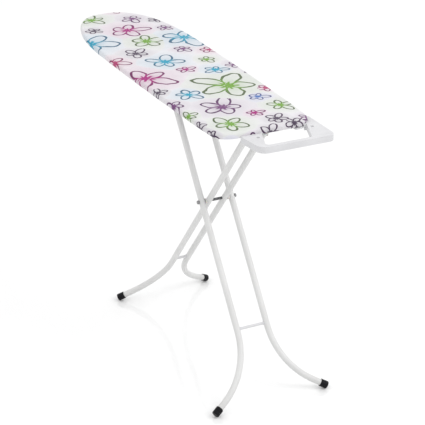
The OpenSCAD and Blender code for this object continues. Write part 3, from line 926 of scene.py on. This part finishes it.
def build_foot(name, foot):
    """A moulded cap: a rounded tip, a ribbed skirt and a rim round the tube."""
    points = node_points(name)
    centre, axis = turned_axis(name)
    along = (points - centre) @ axis
    radius = lengths(points - centre - along[:, None] * axis)[:, 0]
    if radius[along > along.max() - FLAT_REACH].max() < radius.max() - 1e-3:
        axis, along = -axis, -along
    tip, rim = along.min(), along.max()
    r_out, r_tube = radius.max(), radius[along > rim - FLAT_REACH].min()
    span = rim - tip
    bend = np.radians(np.linspace(0, 90, 7))
    tip_h = TIP_ROUND * (1 - np.cos(bend))
    tip_r = r_out - TIP_ROUND * (1 - np.sin(bend))
    skirt = np.linspace(TIP_ROUND, span - 3 * LIP_BREAK, 44)[1:]
    share = (skirt - TIP_ROUND) / (span - TIP_ROUND)
    cosine = np.cos(FULL_TURN * (share - 0.5) * (foot.grooves + 1))
    ribs = np.clip(cosine, -1, -GROOVE_EDGE) + GROOVE_EDGE
    band = smoothstep((share - 0.12) / 0.1) * smoothstep((0.9 - share) / 0.1)
    skirt_r = r_out + foot.groove / (1 - GROOVE_EDGE) * ribs * band
    inside = span - CAP_DEPTH
    heights = np.concatenate([[0.0], tip_h, skirt, [span - LIP_BREAK, span, span, inside, inside]])
    radii = np.concatenate([[0.0], tip_r, skirt_r, [
        r_out - LIP_BREAK, r_out - LIP_BREAK - 0.001, r_tube + 0.0003, r_tube - 0.0002, 0.0,
    ]])
    grid = revolved(centre + axis * tip, axis, heights, radii)
    return surface(name + "_cap", grid, (False, True))


def build_weld(name, bar, along, tube_y, side, tube_r, bar_r, bead):
    """A weld bead where a crossbar meets the inside of a tube.

    The bead follows the bar's round, pushed out to the tube's own round: at
    distance w from the tube's centre line its wall lies sqrt(R^2 - w^2) away.
    """
    turn = full_turn(64)
    square = np.cross(along, (0.0, 1.0, 0.0))
    reach = bar_r + 0.35 * bead
    spot = reach * (np.cos(turn)[:, None] * along + np.sin(turn)[:, None] * square)
    wall = tube_y - np.sqrt(tube_r ** 2 - (reach * np.sin(turn)) ** 2)
    path = bar + spot
    path[:, 1] = side * wall
    outward = spot / lengths(spot)
    inward = np.array([0.0, -float(side), 0.0])
    size = bead * (1.0 + 0.16 * np.sin(11.0 * turn) + 0.08 * np.sin(17.0 * turn + 1.0))
    return surface(name, rings(path, outward, inward, size, 10), (True, True))


def joined(name, objects):
    """One object from several, all of them at the origin."""
    mesh = bpy.data.meshes.new(name)
    with opened(mesh) as work:
        for obj in objects:
            work.from_mesh(obj.data)
            bpy.data.objects.remove(obj)
    mesh.shade_smooth()
    return linked(name, mesh)


def softened_copy(node, name, edge):
    """A merged copy of a frame node with its sharp edges broken."""
    mesh = frame["nodes"][node].data.copy()
    mesh.materials.clear()
    with opened(mesh) as work:
        bmesh.ops.remove_doubles(work, verts=work.verts, dist=MERGE_REACH)
        bmesh.ops.dissolve_limit(work, angle_limit=math.radians(0.5), verts=work.verts,
                                 edges=work.edges)
    mesh.shade_smooth()
    obj = linked(name, mesh)
    bevel = obj.modifiers.new("edge_break", "BEVEL")
    bevel.width = edge
    bevel.segments = 3
    bevel.limit_method = "ANGLE"
    bevel.angle_limit = math.radians(35)
    bevel.harden_normals = True
    return obj


# The spring's wire radius and straight end in metres, and its number of turns.
WIRE, SPRING_LEG, COILS = 0.0006, 0.0077, 5


def build_spring(pin, steel):
    """The lever's return spring: a close helix with one straight end."""
    low, high = node_box("lever_spring")
    coil = 0.5 * (high[2] - low[2]) - WIRE
    turn = np.linspace(0.0, FULL_TURN * COILS, COILS * 28)
    run = np.linspace(low[0] + WIRE, high[0] - WIRE, len(turn))
    radial = np.stack([turn * 0, -np.cos(turn), np.sin(turn)], -1)
    helix = np.column_stack([run, pin[1:] + coil * radial[:, 1:]])
    drop = np.linspace(SPRING_LEG, 0.0, 12, endpoint=False)[:, None]
    path = np.concatenate([helix[0] - drop * UP, helix])
    radial = np.concatenate([np.tile(radial[0], (len(drop), 1)), radial])
    binormal = np.tile([1.0, 0.0, 0.0], (len(path), 1))
    obj = surface("return_spring", swept(path, radial, binormal, WIRE, 10), (False, True))
    return finished(obj, slot_finish("zinc_steel", steel))


def build_grip(steel):
    """The lever's grip: a rounded bar with shallow hollows for the fingers."""
    low, high = node_box("lever_grip")
    centre, half = 0.5 * (low + high), 0.5 * (high - low)
    share = np.sin(np.linspace(-0.5 * np.pi, 0.5 * np.pi, 48))
    plump = np.clip(1.0 - np.abs(share) ** 6, 0.0, 1.0) ** (1.0 / 4.0)
    hollow = 1.0 - 0.13 * (0.5 + 0.5 * np.cos(share * 3.0 * np.pi)) * (np.abs(share) < 0.95)
    turn = full_turn(40)
    cos, sin = np.cos(turn), np.sin(turn)
    wide = np.sign(cos) * np.abs(cos) ** 0.6
    tall = np.sign(sin) * np.abs(sin) ** 0.7
    under = np.where(tall[None] < 0, hollow[:, None], 1.0)
    grid = np.stack([
        centre[0] + half[0] * plump[:, None] * wide[None],
        np.broadcast_to((centre[1] + half[1] * share)[:, None], under.shape),
        centre[2] + half[2] * plump[:, None] * tall[None] * under,
    ], -1)
    obj = surface("finger_grip", grid, (False, True))
    return finished(obj, slot_finish("grey_plastic", steel))


# ---- operators ------------


# Name, place, width in metres and power in watts of each lamp, and where they aim.
LAMPS = (
    ("key", (2.6, 2.2, 3.4), 2.2, 48.0),
    ("fill", (0.4, -3.6, 2.6), 2.6, 10.0),
)
LAMP_AIM = Vector((0.1, 0.0, 0.5))
FLOOR_HALF = 14.0


def settings(context):
    """The ironing board's settings in this scene."""
    return context.scene.ironing_board


class IRONING_BOARD_OT_stage(bpy.types.Operator):
    """Places the camera, the pale floor and the studio light"""

    bl_idname = "ironing_board.stage"
    bl_label = "Stage"

    def execute(self, context):
        stage = settings(context).stage
        scene = context.scene
        camera = linked("camera", bpy.data.cameras.new("camera"))
        camera.data.lens = stage.lens
        camera.data.sensor_width = 36.0
        camera.data.clip_end = 60.0
        level = Matrix.Rotation(0.5 * math.pi - stage.dip, 4, "X")
        heading = Matrix.Rotation(stage.heading, 4, "Z")
        roll = Matrix.Rotation(stage.roll, 4, "Z")
        camera.matrix_world = Matrix.Translation(stage.camera) @ heading @ level @ roll
        scene.camera = camera
        self.floor(stage)
        self.light(scene, stage)
        scene.view_settings.view_transform = "Standard"
        return {"FINISHED"}

    def floor(self, stage):
        x, y = np.meshgrid([-FLOOR_HALF, FLOOR_HALF], [-FLOOR_HALF, FLOOR_HALF], indexing="ij")
        floor = surface("floor", np.dstack([x, y, np.zeros_like(x)]))
        if floor.data.polygons[0].normal.z < 0:
            floor.data.flip_normals()
        make = Finish("floor", roughness=0.07, Specular_IOR_Level=0.75)
        cloud = make.noise(1.5, make.place(), detail=3.0)
        make.set("Base Color", make.mix(cloud, stage.floor, scaled(stage.floor, 0.985)))
        finished(floor, make.material)

    def light(self, scene, stage):
        world = bpy.data.worlds.new("studio")
        world.use_nodes = True
        sky = world.node_tree.nodes["Background"].inputs
        sky[0].default_value = (1.0, 1.0, 1.0, 1.0)
        sky[1].default_value = stage.sky
        scene.world = world
        for name, place, size, power in LAMPS:
            lamp = bpy.data.lights.new(name, "AREA")
            lamp.size = size
            lamp.energy = power
            turn = (LAMP_AIM - Vector(place)).to_track_quat("-Z", "Y").to_matrix().to_4x4()
            linked(name, lamp).matrix_world = Matrix.Translation(place) @ turn


class IRONING_BOARD_OT_cover(bpy.types.Operator):
    """Sews the printed cotton cover, its gathered hem and its stitches"""

    bl_idname = "ironing_board.cover"
    bl_label = "Cover"

    def execute(self, context):
        cover, colours = settings(context).cover, settings(context).print
        obj, outline, cloth = build_cover(cover, colours)
        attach(obj, "board")
        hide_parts("cover")
        stitches = build_stitches(outline, cover, colours)
        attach(stitches, "board")
        return {"FINISHED"}


class IRONING_BOARD_OT_pad(bpy.types.Operator):
    """Lays the felt pad on the deck"""

    bl_idname = "ironing_board.pad"
    bl_label = "Pad"

    def execute(self, context):
        obj = build_pad(settings(context).pad, settings(context).cover)
        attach(obj, "board")
        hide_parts("pad")
        return {"FINISHED"}


class IRONING_BOARD_OT_iron_rest(bpy.types.Operator):
    """Breaks the sharp edges of the iron rest and coats it"""

    bl_idname = "ironing_board.iron_rest"
    bl_label = "Iron rest"

    def execute(self, context):
        steel = settings(context).steel
        obj = softened_copy("iron_rest", "coated_iron_rest", steel.edge)
        finished(obj, slot_finish("rest_paint", steel))
        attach(obj, "board")
        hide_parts("iron_rest")
        return {"FINISHED"}


class IRONING_BOARD_OT_feet(bpy.types.Operator):
    """Moulds the four ribbed foot caps"""

    bl_idname = "ironing_board.feet"
    bl_label = "Feet"

    def execute(self, context):
        for frame_name in ("inner", "outer"):
            for side in ("left", "right"):
                node = f"{frame_name}_foot_{side}"
                obj = build_foot(node, settings(context).foot)
                finished(obj, slot_finish("black_plastic", settings(context).steel))
                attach(obj, frame_name + "_frame")
                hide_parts(node)
        return {"FINISHED"}


class IRONING_BOARD_OT_welds(bpy.types.Operator):
    """Runs a weld bead round each end of the crossbars"""

    bl_idname = "ironing_board.welds"
    bl_label = "Welds"

    def execute(self, context):
        steel = settings(context).steel
        slide = 0.5 * np.sum(node_box("slide_rod"), axis=0)
        for frame_name, top in (("inner", HINGE), ("outer", slide)):
            low, high = node_box(frame_name + "_crossbar")
            centre, tube_y, bar_r = 0.5 * (low + high), high[1], 0.5 * (high[2] - low[2])
            along = (top - PIVOT) / np.linalg.norm(top - PIVOT)
            tube_r = tube_y - node_box(frame_name + "_leg_left")[0][1]
            beads = [
                build_weld(f"bead_{k}", centre, along, tube_y, side, tube_r, bar_r, steel.bead)
                for k, side in enumerate(SIDES)
            ]
            obj = joined(frame_name + "_welds", beads)
            finished(obj, slot_finish("bar_paint", steel))
            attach(obj, frame_name + "_frame")
        return {"FINISHED"}


class IRONING_BOARD_OT_lever(bpy.types.Operator):
    """Moulds the lever's grip and winds its return spring"""

    bl_idname = "ironing_board.lever"
    bl_label = "Lever"

    def execute(self, context):
        steel = settings(context).steel
        grip = build_grip(steel)
        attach(grip, "lever")
        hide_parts("lever_grip")
        spring = build_spring(LEVER_PIN, steel)
        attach(spring, "board")
        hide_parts("lever_spring")
        return {"FINISHED"}


class IRONING_BOARD_OT_finishes(bpy.types.Operator):
    """Gives every part of the frame the finish of its material slot"""

    bl_idname = "ironing_board.finishes"
    bl_label = "Finishes"

    def execute(self, context):
        steel = settings(context).steel
        for part in frame["record"]["subparts"]:
            slot, obj = part["material_slot"], frame["nodes"][part["node"]]
            if slot in SLOT_FINISHES and not obj.hide_render:
                obj.data.materials.clear()
                obj.data.materials.append(slot_finish(slot, steel))
        return {"FINISHED"}


class IRONING_BOARD_PT_panel(bpy.types.Panel):
    """Lists the ironing board's operators and their settings"""

    bl_label = "Ironing board"
    bl_space_type = "VIEW_3D"
    bl_region_type = "UI"
    bl_category = "Ironing board"

    def draw(self, context):
        groups = settings(context)
        for operator in OPERATORS:
            self.layout.operator(operator.bl_idname)
        for name in ("cover", "print", "pad", "steel", "foot", "stage"):
            group = getattr(groups, name)
            box = self.layout.box()
            box.label(text=name.capitalize())
            for key in group.__annotations__:
                box.prop(group, key)


OPERATORS = (
    IRONING_BOARD_OT_stage,
    IRONING_BOARD_OT_pad,
    IRONING_BOARD_OT_cover,
    IRONING_BOARD_OT_iron_rest,
    IRONING_BOARD_OT_feet,
    IRONING_BOARD_OT_welds,
    IRONING_BOARD_OT_lever,
    IRONING_BOARD_OT_finishes,
)
GROUPS = (
    CoverSettings, PrintSettings, PadSettings, SteelSettings, FootSettings, StageSettings,
    IroningBoardSettings,
)


def register():
    """Registers the settings, the operators and the panel."""
    for item in (*GROUPS, *OPERATORS, IRONING_BOARD_PT_panel):
        bpy.utils.register_class(item)
    bpy.types.Scene.ironing_board = PointerProperty(type=IroningBoardSettings)


def unregister():
    """Takes them away again."""
    del bpy.types.Scene.ironing_board
    for item in reversed((*GROUPS, *OPERATORS, IRONING_BOARD_PT_panel)):
        bpy.utils.unregister_class(item)


def main():
    """Builds everything in order."""
    register()
    for operator in OPERATORS:
        getattr(bpy.ops.ironing_board, operator.bl_idname.split(".")[1])()


if __name__ == "__main__":
    main()
